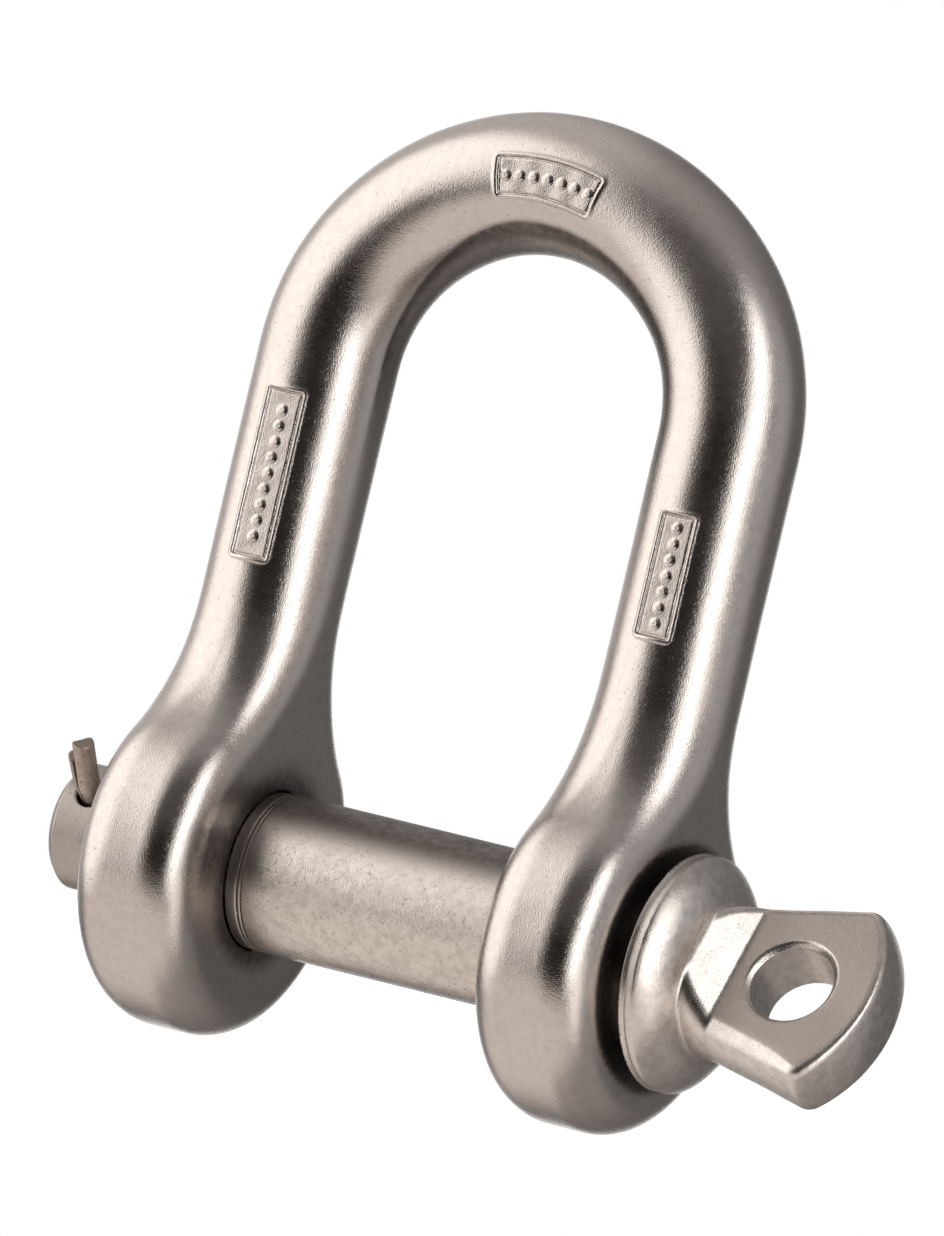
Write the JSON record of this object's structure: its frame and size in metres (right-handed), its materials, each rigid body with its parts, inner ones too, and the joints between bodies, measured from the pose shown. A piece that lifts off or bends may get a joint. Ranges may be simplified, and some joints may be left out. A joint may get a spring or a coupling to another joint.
{
  "type": "dee shackle",
  "caption": "Forged dee shackle with a screw pin: round bar body with two eyes, a collared pin with a flat drilled tab, and a split pin through the pin's tail.",
  "frame": {"origin": "on the pin's axis, midway between the two eyes", "axes": "+X along the pin towards its head, +Z towards the crown, -Y is the side that the split pin's tips come out on"},
  "size_m": [0.1052, 0.0396, 0.1097],
  "materials": {
    "forged_body": "electropolished forging, bright with a fine tumbled grain",
    "pin_steel": "satin, bead blasted shank with machined flats on the tab",
    "split_pin_steel": "drawn wire, dull"
  },
  "bodies": {
    "body": {"shackle_body": "forged_body"},
    "pin": {"eye_pin": "pin_steel"},
    "cotter": {"split_pin": "split_pin_steel"}
  },
  "joints": [
    {"name": "pin_turn", "type": "hinge", "parent": "body", "child": "pin", "pos_m": [0, 0, 0], "axis": [1, 0, 0], "range_deg": [-240, 450]},
    {"name": "split_pin_pull", "type": "slide", "parent": "pin", "child": "cotter", "axis": [0, 0.8387, -0.5446], "range_m": [0, 0.025], "deforming": ["split_pin"]}
  ]
}
